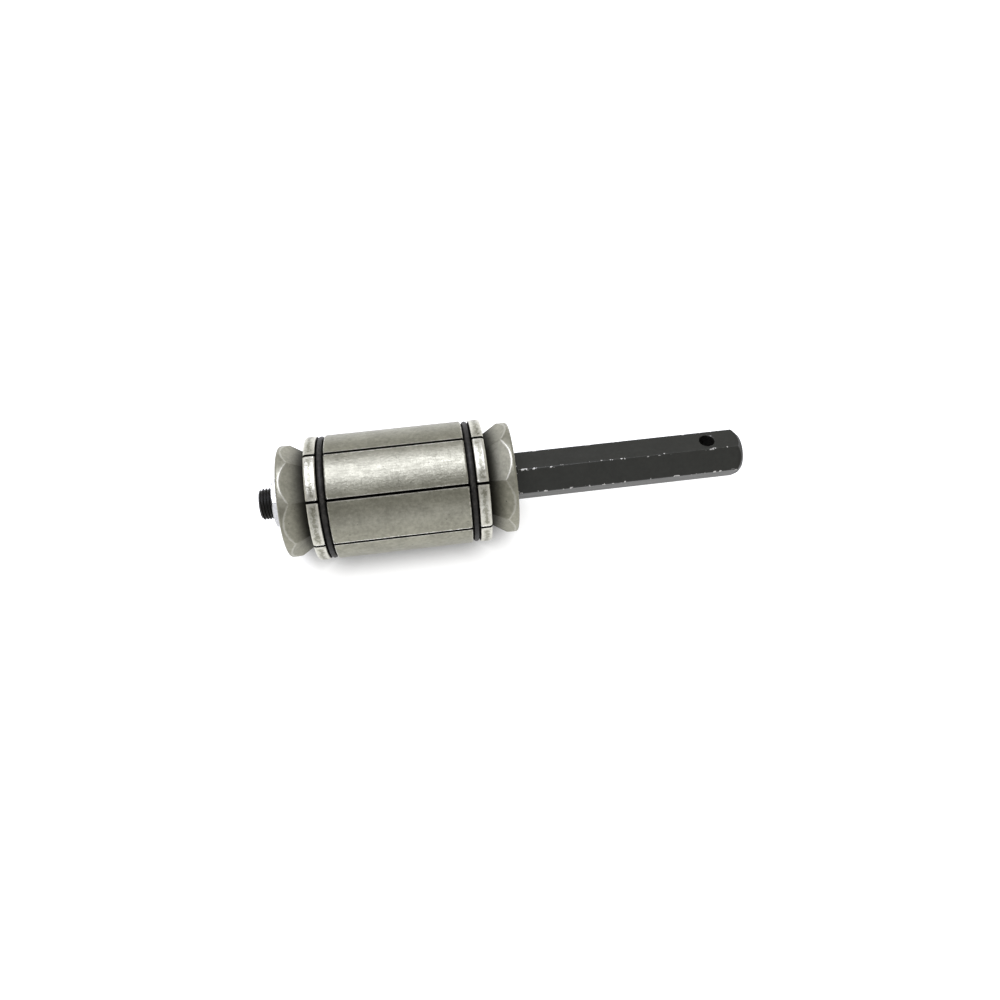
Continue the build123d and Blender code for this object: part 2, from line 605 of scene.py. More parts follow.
def bump(graph: Graph, shader: bpy.types.Node, height: Socket, strength: float, distance: float) -> None:
    """Feeds a height to a shader's normal.

    Args:
        graph: The material's graph.
        shader: The shader node.
        height: The height over the surface.
        strength: How much of it shows.
        distance: How high a height of 1 stands.
    """
    node = graph.node("ShaderNodeBump")
    node.inputs["Strength"].default_value = strength
    node.inputs["Distance"].default_value = distance
    graph.feed(node.inputs["Height"], height)
    graph.feed(shader.inputs["Normal"], node.outputs[0])


class Fade:
    """Where wear, painted shade and darker colour begin and end, in mm from the place that each is measured
    from.

    A DOWNWARDS value is what a mm below the surface counts in mm along it; the edges value for the painted
    shade on the cones by the jaws is how many mm the worn edges are held off there; and FLANGE_SHARE is what
    is left of the distance on a flange.
    """

    # Spans of the painted shade on the jaws' groove walls and slit sides.
    GROOVE_SIDE = (0.05, 0.25)
    GROOVE_DEPTH = (0.12, 0.55)
    SLIT_SIDE = (0.14, 0.36)
    SLIT_DEPTH = (0.0, 0.06)
    FLANGE = (0.0, 0.6)
    FLANGE_SHARE = (1.0, 0.3)
    # How dark the painted shade on the jaws' groove walls and slit sides is.
    JAW_PAINTED_SHADE = 0.96
    JAW_DOWNWARDS = 0.8
    # Painted shade on the cones by the jaws: where it fades and how dark it is.
    UNDER_JAWS = (0.0, 9.5)
    UNDER_JAWS_PAINTED_SHADE = 0.95
    CONE_DOWNWARDS = 1.5
    # How far the painted shade on the cones holds the worn edges off.
    PAINTED_SHADE_EDGES = 3.0
    BAR_DOWNWARDS = 2.0
    # Spans of the painted shade deep in the cross hole, and of the worn rim around it.
    HOLE_SIDE = (0.0, 0.2)
    HOLE_DEPTH = (0.5, 1.6)
    HOLE_RIM_START = (0.04, 0.12)
    HOLE_RIM_END = (0.3, 0.5)
    # Where the thread's darker colour ends, and how dark it is.
    THREAD_END = (-1.0, 0.0)
    THREAD_DARKENING = 0.9
    BAR_END = (-4.2, -2.5)
    BAR_END_GRIME = 0.5
    CHIPS = (0.3, 0.7)


def shifted(span: Span, start: float) -> Span:
    """Moves a span so that it is measured from a start."""
    return span[0] + start, span[1] + start


class SteelKind(Enum):
    """Which piece a steel finish is for: it settles where the wear, the painted shade and the darker colour
    lie.
    """

    JAW = "jaw"
    CONE = "cone"
    HEXAGON = "hexagon"
    SMALL = "small"


@dataclass(frozen=True)
class SteelFinish:
    """Finish of a steel piece: its tones, its bright worn edges, the painted shade in its recesses and by the
    jaws, and darker colour on the thread and where nothing rubs.
    """

    name: str
    kind: SteelKind
    dark: Colour
    light: Colour
    worn: Colour = (0.5, 0.49, 0.46)
    # Colour and added roughness of the painted shade in slits, grooves, the cross hole and by the jaws, also
    # used for the darker thread and bar end.
    painted_shade_and_darkening: Colour = (0.012, 0.011, 0.009)
    painted_shade_and_darkening_roughness: float = 0.15
    cloud_span: Span = (0.32, 0.68)
    line_span: Span = (0.3, 0.7)
    roughness: tuple[float, float] = (0.38, 0.5)
    worn_roughness: float = 0.32
    worn_width: float = 0.6
    worn_share: float = 0.8
    metallic: float = 1.0
    line_stretch: float = 12.0
    dents: float = 0.55
    bump_distance: float = 0.1 * MM
    bump_strength: float = 1.0
    pit_tone: float = 0.6
    chip: Colour | None = None
    chip_spots: Speckle = Speckle(330.0, 2.0, 0.6)
    chip_span: Span = (0.6, 0.62)

    def build(self, effects: SharedEffects, sizes: "ToolSizes") -> bpy.types.Material:
        """Builds the material.

        Args:
            effects: The shared node groups.
            sizes: Sizes that the worn edges and the grime are placed by.

        Returns:
            The material.
        """
        material, graph, shader = new_material(self.name)
        skin = graph.use(effects.steel_skin, Line_Stretch=self.line_stretch, Dents=self.dents)
        tone = graph.ramp(skin.outputs["Cloud"], *self.cloud_span)
        colour = graph.blend(tone, (*self.dark, 1.0), (*self.light, 1.0))
        pit_colour = tuple(channel * self.pit_tone for channel in self.dark)
        colour = graph.blend(skin.outputs["Pits"], colour, (*pit_colour, 1.0))
        lines = graph.ramp(skin.outputs["Lines"], *self.line_span)
        smooth, rough = self.roughness
        roughness = graph.math("MULTIPLY_ADD", lines, rough - smooth, smooth)
        place_edges = {
            SteelKind.JAW: self._jaw_places,
            SteelKind.CONE: self._cone_places,
            SteelKind.HEXAGON: self._hexagon_places,
        }.get(self.kind)
        if place_edges:
            distance, painted_shade_and_darkening = place_edges(graph, effects, sizes)
            worn = graph.use(effects.broken_edge, Distance=distance, Width=self.worn_width).outputs["Mask"]
            worn = graph.math("MULTIPLY", worn, self.worn_share)
            colour = graph.blend(worn, colour, (*self.worn, 1.0))
            smoother = graph.math("SUBTRACT", self.worn_roughness, roughness)
            roughness = graph.math("MULTIPLY_ADD", worn, smoother, roughness)
            # Painted shade in slits, grooves, the cross hole and on the cones by the jaws; darker colour on
            # the thread and the bar's end.
            colour = graph.blend(painted_shade_and_darkening, colour, (*self.painted_shade_and_darkening, 1.0))
            roughness = graph.math("MULTIPLY_ADD", painted_shade_and_darkening, self.painted_shade_and_darkening_roughness, roughness)
            if self.chip:
                colour = graph.blend(self._chips(graph, distance), colour, (*self.chip, 1.0))
        graph.feed(shader.inputs["Base Color"], colour)
        graph.feed(shader.inputs["Roughness"], roughness)
        shader.inputs["Metallic"].default_value = self.metallic
        bump(graph, shader, skin.outputs["Height"], self.bump_strength, self.bump_distance)
        return material

    def _chips(self, graph: Graph, distance: Socket) -> Socket:
        """Small chips down to bare steel, close to the edges.

        Args:
            graph: The material's graph.
            distance: Distance from the nearest edge in mm.

        Returns:
            The chips' mask.
        """
        spot = graph.spot()
        chance = graph.ramp(graph.noise(spot, self.chip_spots), *self.chip_span)
        return graph.math("MULTIPLY", chance, graph.fade(distance, Fade.CHIPS))

    @staticmethod
    def _jaw_places(graph: Graph, effects: SharedEffects, sizes: "ToolSizes") -> tuple[Socket, Socket]:
        """Distance from a jaw's outer edges, and the painted shade on its sides and in its grooves.

        Args:
            graph: The material's graph.
            effects: The shared node groups.
            sizes: Sizes that the edges are placed by.

        Returns:
            The distance in mm, and the painted shade's mask.
        """
        spot = graph.use(effects.polar, Sectors=float(sizes.jaws), Turn=0.0).outputs
        along = graph.math("ABSOLUTE", spot["Along"])
        to_side = graph.math("SUBTRACT", pi / sizes.jaws, spot["From Middle"])
        side = graph.math("MULTIPLY_ADD", to_side, spot["Radius"], -sizes.slit / MM / 2)
        side = graph.math("MAXIMUM", side, 0.0)
        nearest = side
        for x in (sizes.groove_inner, sizes.groove_outer, sizes.jaw_half_length):
            nearest = graph.math("MINIMUM", nearest, graph.gap(along, x / MM))
        depth = graph.math("SUBTRACT", sizes.jaw_radius / MM, spot["Radius"])
        depth = graph.math("MAXIMUM", depth, 0.0)
        distance = graph.math("MULTIPLY_ADD", depth, Fade.JAW_DOWNWARDS, nearest)
        groove_middle = (sizes.groove_inner + sizes.groove_outer) / 2 / MM
        groove_half = (sizes.groove_outer - sizes.groove_inner) / 2 / MM
        # Painted shade: the groove walls and the slit sides are darkened as if they lay in shadow.
        in_groove = graph.gap(along, groove_middle)
        in_groove = graph.fade(in_groove, shifted(Fade.GROOVE_SIDE, groove_half))
        in_groove = graph.math("MULTIPLY", in_groove, graph.ramp(depth, *Fade.GROOVE_DEPTH))
        on_side = graph.fade(side, Fade.SLIT_SIDE)
        on_side = graph.math("MULTIPLY", on_side, graph.ramp(depth, *Fade.SLIT_DEPTH))
        painted_shade_and_darkening = graph.math("MULTIPLY", graph.math("MAXIMUM", in_groove, on_side), Fade.JAW_PAINTED_SHADE)
        flange = shifted(Fade.FLANGE, sizes.groove_outer / MM)
        on_flange = graph.ramp(along, *flange, *Fade.FLANGE_SHARE)
        return graph.math("MULTIPLY", distance, on_flange), painted_shade_and_darkening

    @staticmethod
    def _cone_places(graph: Graph, effects: SharedEffects, sizes: "ToolSizes") -> tuple[Socket, Socket]:
        """Distance from the arcs, corners and rim of a cone, and the painted shade towards the jaws.

        Args:
            graph: The material's graph.
            effects: The shared node groups.
            sizes: Sizes that the edges are placed by.

        Returns:
            The distance in mm, and the painted shade's mask.
        """
        spot = graph.use(effects.polar, Sectors=float(sizes.jaws), Turn=0.0).outputs
        radius = spot["Radius"]
        along = graph.math("ABSOLUTE", spot["Along"])
        inside = graph.math("SUBTRACT", sizes.cone_radius / MM, radius)
        inside = graph.math("MAXIMUM", inside, 0.0)
        flat = graph.math("MULTIPLY_ADD", along, tan(sizes.ramp), sizes.cone_apothem(0.0) / MM)
        reach = graph.math("MULTIPLY", radius, graph.math("COSINE", spot["From Middle"]))
        under = graph.math("MAXIMUM", graph.math("SUBTRACT", flat, reach), 0.0)
        arc = graph.math("MULTIPLY_ADD", under, Fade.CONE_DOWNWARDS, inside)
        to_corner = graph.math("SUBTRACT", pi / sizes.jaws, spot["From Middle"])
        corner = graph.math("MULTIPLY_ADD", to_corner, radius, under)
        rim = graph.math("ADD", graph.gap(along, sizes.cone_face / MM), inside)
        distance = graph.math("MINIMUM", graph.math("MINIMUM", arc, corner), rim)
        # Painted shade and painted reflection of the dark gap: the cone darkens towards the jaws, and its
        # worn edges are held off there.
        near_jaws = shifted(Fade.UNDER_JAWS, sizes.jaw_half_length / MM)
        painted_shade_near_jaws = graph.ramp(along, *near_jaws, Fade.UNDER_JAWS_PAINTED_SHADE, 0.0)
        return graph.math("MULTIPLY_ADD", painted_shade_near_jaws, Fade.PAINTED_SHADE_EDGES, distance), painted_shade_near_jaws

    @staticmethod
    def _hexagon_places(graph: Graph, effects: SharedEffects, sizes: "ToolSizes") -> tuple[Socket, Socket]:
        """Distance from the bar's edges, the painted shade in its cross hole, and the darker colour on its
        thread and end.

        Args:
            graph: The material's graph.
            effects: The shared node groups.
            sizes: Sizes that the edges are placed by.

        Returns:
            The distance in mm, and the mask of the painted shade and the darker colour.
        """
        spot = graph.use(effects.polar, Sectors=float(HEXAGON_SIDES), Turn=sizes.hexagon_turn).outputs
        radius = spot["Radius"]
        to_corner = graph.math("SUBTRACT", pi / HEXAGON_SIDES, spot["From Middle"])
        corner = graph.math("MULTIPLY", to_corner, radius)
        start = graph.gap(spot["Along"], sizes.bar_start / MM)
        reach = graph.math("MULTIPLY", radius, graph.math("COSINE", spot["From Middle"]))
        depth = graph.math("SUBTRACT", sizes.hexagon / MM / 2, reach)
        hole_x = (sizes.bar_end - sizes.cross_hole_from_end) / MM
        hole_reach = (sizes.cross_hole + sizes.cross_hole_chamfer) / MM
        near_hole = graph.fade(graph.gap(spot["Along"], hole_x), shifted(Fade.HOLE_SIDE, hole_reach))
        # Painted shade deep in the cross hole.
        deep = graph.ramp(depth, *Fade.HOLE_DEPTH)
        below = graph.math("MAXIMUM", depth, 0.0)
        nearest = graph.math("MINIMUM", corner, start)
        distance = graph.math("MULTIPLY_ADD", below, Fade.BAR_DOWNWARDS, nearest)
        rim = graph.ramp(depth, *Fade.HOLE_RIM_START)
        rim = graph.math("MULTIPLY", rim, graph.fade(depth, Fade.HOLE_RIM_END))
        rim = graph.math("MULTIPLY", rim, near_hole)
        distance = graph.math("MULTIPLY", distance, graph.math("SUBTRACT", 1.0, rim))
        # Darker colour over the whole thread.
        thread = shifted(Fade.THREAD_END, sizes.thread_start / MM)
        thread_darkening = graph.ramp(spot["Along"], *thread, Fade.THREAD_DARKENING, 0.0)
        end = sizes.bar_end / MM
        off_edge = graph.gap(radius, sizes.bar_end_radius / MM)
        off_end = graph.gap(spot["Along"], end)
        distance = graph.math("MINIMUM", distance, graph.math("ADD", off_edge, off_end))
        blacker = graph.ramp(spot["Along"], *shifted(Fade.BAR_END, end), 0.0, Fade.BAR_END_GRIME)
        painted_shade_and_darkening = graph.math("MAXIMUM", graph.math("MULTIPLY", near_hole, deep), thread_darkening)
        return distance, graph.math("MAXIMUM", painted_shade_and_darkening, blacker)


@dataclass(frozen=True)
class RubberFinish:
    """Finish of the retaining rings."""

    name: str = "black_rubber"
    colour: Colour = (0.008, 0.0077, 0.0065)
    dusty: Colour = (0.036, 0.034, 0.028)
    roughness: float = 0.46
    dust_roughness: float = 0.2
    gloss: float = 0.22
    dust: Speckle = Speckle(520.0, 4.0, 0.7)
    dust_span: Span = (0.42, 0.7)
    grain: Speckle = Speckle(1800.0, 3.0)
    grain_strength: float = 0.25
    grain_height: float = 0.03 * MM

    def build(self) -> bpy.types.Material:
        """Builds the material.

        Returns:
            The material.
        """
        material, graph, shader = new_material(self.name)
        spot = graph.spot()
        dust = graph.ramp(graph.noise(spot, self.dust), *self.dust_span)
        colour = graph.blend(dust, (*self.colour, 1.0), (*self.dusty, 1.0))
        roughness = graph.math("MULTIPLY_ADD", dust, self.dust_roughness, self.roughness)
        graph.feed(shader.inputs["Base Color"], colour)
        graph.feed(shader.inputs["Roughness"], roughness)
        shader.inputs["Specular IOR Level"].default_value = self.gloss
        bump(graph, shader, graph.noise(spot, self.grain), self.grain_strength, self.grain_height)
        return material


@dataclass(frozen=True)
class ToolSizes:
    """Sizes of the tool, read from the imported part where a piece's box gives them."""

    jaws: int
    jaw_half_length: float
    jaw_radius: float
    groove_inner: float
    groove_outer: float
    groove_floor: float
    ring_axis_radius: float
    ring_half_section: float
    cone_face: float
    cone_radius: float
    cone_nose: float
    bar_start: float
    bar_end: float
    nut_outer: float
    nut_inner: float
    thread_end: float
    washer_gap: float = 0.05 * MM
    groove_width: float = 3.9 * MM
    groove_floor_gap: float = 0.14 * MM
    slit: float = 1.0 * MM
    slit_chamfer: float = 0.4 * MM
    jaw_bore: float = 9.2 * MM
    flange_round: float = 1.5 * MM
    groove_edge_round: float = 1.0 * MM
    groove_floor_round: float = 0.5 * MM
    ramp: float = radians(30.0)
    ramp_clearance: float = 0.07 * MM
    cone_corner_start: float = 53.0 * MM
    cone_edge_round: float = 1.5 * MM
    cone_bore: float = 8.03 * MM
    hexagon: float = 22.2 * MM
    hexagon_turn: float = radians(24.0)
    shoulder_chamfer: float = 0.7 * MM
    bar_end_radius: float = 9.4 * MM
    bar_end_chamfer: float = 4.0 * MM
    bar_end_round: float = 0.9 * MM
    cross_hole: float = 4.0 * MM
    cross_hole_chamfer: float = 0.4 * MM
    cross_hole_from_end: float = 18.3 * MM
    shank: float = 7.95 * MM
    thread: float = 8.0 * MM
    thread_core: float = 7.08 * MM
    thread_pitch: float = 1.5 * MM
    thread_start: float = -4.0 * MM
    thread_tip: float = 1.0 * MM
    nut: float = 24.0 * MM
    nut_turn: float = radians(10.0)
    nut_face: float = 11.3 * MM
    nut_chamfer: float = 1.3 * MM
    nut_bore: float = 7.19 * MM

    @classmethod
    def from_frame(cls) -> "ToolSizes":
        """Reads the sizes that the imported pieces' boxes give.

        Returns:
            The tool's sizes.
        """
        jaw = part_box("jaw_1")[1]
        ring_low, ring_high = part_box("rear_o_ring")
        cone_low, cone_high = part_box("rear_cone")
        nut_low, nut_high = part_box("draw_nut")
        screw_low, screw_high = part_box("drive_screw")
        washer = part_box("thrust_washer")[1]
        section = ring_high.x - ring_low.x
        middle = (ring_high.x + ring_low.x) / 2
        groove_half = cls.groove_width / 2
        axis_radius = ring_high.z - section / 2
        names = [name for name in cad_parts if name.startswith("jaw_")]
        return cls(
            jaws=len(names),
            jaw_half_length=jaw.x,
            jaw_radius=jaw.z,
            groove_inner=middle - groove_half,
            groove_outer=middle + groove_half,
            groove_floor=axis_radius - section / 2 - cls.groove_floor_gap,
            ring_axis_radius=axis_radius,
            ring_half_section=section / 2,
            cone_face=cone_high.x,
            cone_radius=cone_high.z,
            cone_nose=cone_low.x,
            bar_start=washer.x + cls.washer_gap,
            bar_end=screw_high.x,
            nut_outer=-nut_low.x,
            nut_inner=-nut_high.x,
            thread_end=screw_low.x,
        )

    @property
    def sector(self) -> float:
        """Angle that one jaw takes."""
        return FULL_TURN / self.jaws

    def cone_apothem(self, x: float) -> float:
        """Distance from the axis to a cone's flats, at a distance x from the tool's middle."""
        corner = self.cone_radius * cos(self.sector / 2)
        return corner + (x - self.cone_corner_start) * tan(self.ramp)


@dataclass(frozen=True)
class TailStep:
    """A section of the rubber beyond a jaw's side, where it runs straight across the gap."""

    distance: float
    dip: float
    thickness: float


@dataclass(frozen=True)
class JawSet:
    """The eight jaws and the rubber rings that hold them together."""

    sizes: ToolSizes
    steel: bpy.types.Material
    rubber: bpy.types.Material
    steps: int = 18
    ring_sides: int = 20
    ring_steps: int = 10
    spare: float = radians(1.5)
    edge_share: float = 0.8
    edge_steps: int = 3
    tail: tuple[TailStep, ...] = (
        TailStep(1.0 * MM, 0.04 * MM, 0.94),
        TailStep(3.0 * MM, 0.16 * MM, 0.87),
        TailStep(5.3 * MM, 0.3 * MM, 0.84),
    )

    def outline(self) -> list[tuple[float, float]]:
        """Half section of a jaw: land, grooves, flanges and the bore's line.

        Returns:
            The outline's points as (x, radius).
        """
        s = self.sizes
        half = [
            (s.groove_inner, s.jaw_radius),
            (s.groove_inner, s.groove_floor),
            (s.groove_outer, s.groove_floor),
            (s.groove_outer, s.jaw_radius),
            (s.jaw_half_length, s.jaw_radius),
            (s.jaw_half_length, s.jaw_bore),
        ]
        radii = [
            s.groove_edge_round,
            s.groove_floor_round,
            s.groove_floor_round,
            s.groove_edge_round,
            s.flange_round,
        ]
        left = [(-x, r) for x, r in reversed(half)]
        return rounded(left + half, radii[::-1] + radii)

    def jaw(self, number: int) -> bpy.types.Object:
        """One jaw, cut from the turned ring by its two sides and its two ramps.

        Args:
            number: The jaw's number, from 1 at the top.

        Returns:
            The jaw.
        """
        s = self.sizes
        reach = s.sector / 2 + self.spare
        shape = Shape.spun(self.outline(), self.steps, start=-reach, sweep=2 * reach)
        for side in (-1, 1):
            angle = side * s.sector / 2
            normal = Vector((0.0, side * cos(angle), -side * sin(angle)))
            shape.cut(-normal * s.slit / 2, normal)
        for end in (-1, 1):
            top = Vector((end * s.jaw_half_length, 0.0, s.cone_apothem(s.jaw_half_length) + s.ramp_clearance))
            shape.cut(top, Vector((end * sin(s.ramp), 0.0, -cos(s.ramp))))
        name = f"jaw_{number}"
        mesh = shape.turned((number - 1) * s.sector).mesh(f"steel_{name}")
        edges = Edges(s.slit_chamfer * self.edge_share, self.edge_steps)
        return place(mesh, name, self.steel, [name], edges)

    def ring_arc(self, side: Side, number: int) -> bpy.types.Object:
        """The stretch of a rubber ring on one jaw, with thin tails that bridge the gaps of open jaws.

        Args:
            side: The ring's end of the tool.
            number: The jaw's number, from 1 at the top.

        Returns:
            The arc.
        """
        s = self.sizes
        bm = bmesh.new()
        start = -s.sector / 2
        middle = side.value * (s.groove_inner + s.groove_outer) / 2
        place_matrix = (
            Matrix.Rotation(-start, 4, "X")
            @ Matrix.Translation((middle, 0.0, s.ring_axis_radius))
            @ Matrix.Rotation(pi / 2, 4, "X")
        )
        made = bmesh.ops.create_circle(
            bm, cap_ends=False, radius=s.ring_half_section, segments=self.ring_sides, matrix=place_matrix
        )
        loop = [edge for edge in bm.edges]
        spun = bmesh.ops.spin(
            bm,
            geom=made["verts"] + loop,
            cent=ORIGIN,
            axis=AXIS,
            dvec=ORIGIN,
            angle=-s.sector,
            steps=self.ring_steps,
            use_merge=False,
            use_duplicate=False,
        )
        last = [item for item in spun["geom_last"] if isinstance(item, bmesh.types.BMEdge)]
        for edges, angle, way in ((loop, start, -1), (last, -start, 1)):
            self._tail(bm, edges, angle, way, middle)
        name = f"{side.name.lower()}_o_ring"
        mesh = Shape(bm).turned((number - 1) * s.sector).mesh(f"{name}_arc_{number}")
        return place(mesh, f"jaw_{number}", self.rubber, [name])

    def _tail(self, bm: bmesh.types.BMesh, edges: list, angle: float, way: int, middle: float) -> None:
        """Extends an arc's end straight on along its tangent.

        Args:
            bm: The arc's mesh.
            edges: The open loop at the arc's end.
            angle: Where the arc ends.
            way: 1 where the arc runs on towards +Y, else -1.
            middle: The ring's place along the axis.
        """
        along = Vector((0.0, cos(angle), -sin(angle))) * way
        root = outward(angle) * self.sizes.ring_axis_radius + Vector((middle, 0.0, 0.0))
        spot = root
        thickness = 1.0
        for step in self.tail:
            target = root + along * step.distance - outward(angle) * step.dip
            grown = bmesh.ops.extrude_edge_only(bm, edges=edges)["geom"]
            verts = [item for item in grown if isinstance(item, bmesh.types.BMVert)]
            edges = [item for item in grown if isinstance(item, bmesh.types.BMEdge) and item.is_boundary]
            bmesh.ops.translate(bm, verts=verts, vec=target - spot)
            spot = target
            shrink = step.thickness / thickness
            bmesh.ops.scale(bm, verts=verts, vec=(shrink,) * 3, space=Matrix.Translation(-spot))
            thickness = step.thickness
        bmesh.ops.contextual_create(bm, geom=edges)

    def build(self) -> None:
        """Builds every jaw and both rings."""
        for number in range(1, self.sizes.jaws + 1):
            self.jaw(number)
            for side in Side:
                self.ring_arc(side, number)


@dataclass(frozen=True)
class Cones:
    """The two octagonal cones and the nut that draws the front one in."""

    sizes: ToolSizes
    steel: bpy.types.Material
    zinc: bpy.types.Material
    steps: int = 128
    rounding_steps: int = 5
    edges: Edges = Edges(0.35 * MM, 3)
    nut_edges: Edges = Edges(0.25 * MM)
    nut_spare: float = 0.5 * MM
    nut_mouth: float = 0.15 * MM

    def body(self, bore: float) -> Shape:
        """A cone on the rear side: a turned drum with eight flats cut on it.

        Args:
            bore: Radius of its bore.

        Returns:
            The cone's shape.
        """
        s = self.sizes
        drum = rounded(
            [
                (s.cone_nose, bore),
                (s.cone_nose, s.cone_radius),
                (s.cone_face, s.cone_radius),
                (s.cone_face, bore),
            ],
            [s.cone_edge_round, s.cone_edge_round],
            steps=self.rounding_steps,
        )
        shape = Shape.spun(drum, self.steps)
        for number in range(s.jaws):
            out = outward(number * s.sector)
            point = out * s.cone_apothem(s.cone_face) + Vector((s.cone_face, 0.0, 0.0))
            shape.cut(point, out * cos(s.ramp) - Vector((sin(s.ramp), 0.0, 0.0)))
        return shape

    def rear(self) -> bpy.types.Object:
        """The cone that the bar's shoulder pushes."""
        mesh = self.body(self.sizes.cone_bore).mesh("rear_cone_body")
        return place(mesh, "rear_cone", self.steel, ["rear_cone"], self.edges)

    def front(self) -> bpy.types.Object:
        """The cone that holds the nut."""
        mesh = self.body(self.sizes.nut / 2).mirrored().mesh("front_cone_body")
        return place(mesh, "front_cone", self.steel, ["front_cone"], self.edges)

    def nut(self) -> bpy.types.Object:
        """The zinc-plated nut, a turned blank with six flats cut on it.

        Returns:
            The nut.
        """
        s = self.sizes
        corner = s.nut / sqrt(3) + self.nut_spare
        mouth = s.thread + self.nut_mouth
        depth = mouth - s.nut_bore
        blank = [
            (-s.nut_outer, mouth),
            (-s.nut_outer, s.nut_face),
            (-s.nut_outer + s.nut_chamfer, corner),
            (-s.nut_inner - s.nut_chamfer, corner),
            (-s.nut_inner, s.nut_face),
            (-s.nut_inner, mouth),
            (-s.nut_inner - depth, s.nut_bore),
            (-s.nut_outer + depth, s.nut_bore),
        ]
        shape = Shape.spun(blank, self.steps)
        shape.cut_hexagon(s.nut, s.nut_turn)
        mesh = shape.mesh("zinc_nut")
        return place(mesh, "front_cone", self.zinc, ["draw_nut"], self.nut_edges)

    def build(self) -> None:
        """Builds both cones and the nut."""
        self.rear()
        self.front()
        self.nut()


@dataclass(frozen=True)
class DriveScrew:
    """The hexagon bar with its turned shank and cut thread."""

    sizes: ToolSizes
    black: bpy.types.Material
    steps: int = 144
    shank_steps: int = 72
    drill_steps: int = 64
    thread_steps: int = 36
    spare: float = 0.4 * MM
    overlap: float = 1.0 * MM
    shoulder_round: float = 0.2 * MM
    taper_round: float = 0.6 * MM
    relief: float = 0.08 * MM
    relief_length: float = 2.0 * MM
    edges: Edges = Edges(0.35 * MM, 3)
    shank_edges: Edges = Edges(0.15 * MM)
    thread_corner: float = radians(35.0)

    def bar(self) -> bpy.types.Object:
        """The hexagon with its rounded end and the hole for a turning bar.

        Returns:
            The bar.
        """
        s = self.sizes
        clear = s.hexagon / sqrt(3) + self.spare
        outline = rounded(
            [
                (s.bar_start, 0.0),
                (s.bar_start, s.hexagon / sqrt(3) - s.shoulder_chamfer),
                (s.bar_start + s.shoulder_chamfer + self.spare, clear),
                (s.bar_end - s.bar_end_chamfer, clear),
                (s.bar_end, s.bar_end_radius),
                (s.bar_end, 0.0),
            ],
            [self.shoulder_round, self.shoulder_round, self.taper_round, s.bar_end_round],
        )
        shape = Shape.spun(outline, self.steps, closed=False)
        shape.cut_hexagon(s.hexagon, s.hexagon_turn)
        mesh = shape.mesh("hexagon_bar")
        piece = add_object("blank", mesh)
        self.edges.dress(piece)
        drill = self._drill()
        cut = piece.modifiers.new("cross_hole", "BOOLEAN")
        cut.object = drill
        cut.operation = "DIFFERENCE"
        cut.solver = "EXACT"
        graph = bpy.context.evaluated_depsgraph_get()
        drilled = bpy.data.meshes.new_from_object(piece.evaluated_get(graph))
        drilled.name = "hexagon_bar_drilled"
        for spare in (piece, drill):
            bpy.data.objects.remove(spare)
        done = place(drilled, "drive_screw", self.black, ["drive_screw"])
        done.modifiers.new("flat_flats", "WEIGHTED_NORMAL")
        return done

    def _drill(self) -> bpy.types.Object:
        """The cross hole's shape, countersunk at both flats.

        Returns:
            The object that is cut out of the bar.
        """
        s = self.sizes
        flat = s.hexagon / 2
        mouth = s.cross_hole + s.cross_hole_chamfer
        outline = [
            (-flat - self.overlap, 0.0),
            (-flat - self.overlap, mouth),
            (-flat, mouth),
            (-flat + s.cross_hole_chamfer, s.cross_hole),
            (flat - s.cross_hole_chamfer, s.cross_hole),
            (flat, mouth),
            (flat + self.overlap, mouth),
            (flat + self.overlap, 0.0),
        ]
        shape = Shape.spun(outline, self.drill_steps, closed=False)
        turn = Matrix.Rotation(-s.hexagon_turn, 4, "X") @ Matrix.Rotation(-pi / 2, 4, "Y")
        shift = Matrix.Translation((s.bar_end - s.cross_hole_from_end, 0.0, 0.0))
        bmesh.ops.transform(shape.bm, matrix=shift @ turn, verts=shape.bm.verts[:])
        return add_object("drill", shape.mesh("drill"))

    def shank(self) -> bpy.types.Object:
        """The plain turned part inside the rear cone and the jaws.

        Returns:
            The shank.
        """
        s = self.sizes
        neck = s.thread_core - self.relief
        neck_end = s.thread_start + self.relief_length
        outline = [
            (s.thread_start, 0.0),
            (s.thread_start, neck),
            (neck_end, neck),
            (neck_end + self.overlap, s.shank),
            (s.bar_start + self.overlap, s.shank),
            (s.bar_start + self.overlap, 0.0),
        ]
        mesh = Shape.spun(outline, self.shank_steps, closed=False).mesh("screw_shank")
        return place(mesh, "drive_screw", self.black, (), self.shank_edges)

    def thread(self) -> bpy.types.Object:
        """The cut thread, a helix with flat crests, chamfered at its tip.

        Returns:
            The thread.
        """
        s = self.sizes
        pitch = s.thread_pitch
        crest = pitch / 8
        flank = (s.thread - s.thread_core) * tan(radians(30.0))
        ridge = [
            (0.0, s.thread_core),
            (flank, s.thread),
            (flank + crest, s.thread),
            (2 * flank + crest, s.thread_core),
            (pitch, s.thread_core),
        ]
        first = s.thread_end - pitch
        turns = ceil((s.thread_start - first) / pitch)
        outline = [(first - pitch + x, r) for x, r in ridge]
        shape = Shape.spun(
            outline,
            turns * self.thread_steps,
            sweep=turns * FULL_TURN,
            closed=False,
            advance=pitch / self.thread_steps,
        )
        for vert in shape.bm.verts:
            spread = Vector((0.0, vert.co.y, vert.co.z))
            depth = max(vert.co.x - s.thread_end, 0.0)
            limit = s.thread - s.thread_tip + depth
            if spread.length > limit:
                vert.co -= spread.normalized() * (spread.length - limit)
        shape.cut(Vector((s.thread_end, 0.0, 0.0)), Vector((-1.0, 0.0, 0.0)))
        shape.cut(Vector((s.thread_start, 0.0, 0.0)), Vector((1.0, 0.0, 0.0)))
        mesh = shape.mesh("screw_thread")
        mesh.set_sharp_from_angle(angle=self.thread_corner)
        return place(mesh, "drive_screw", self.black)

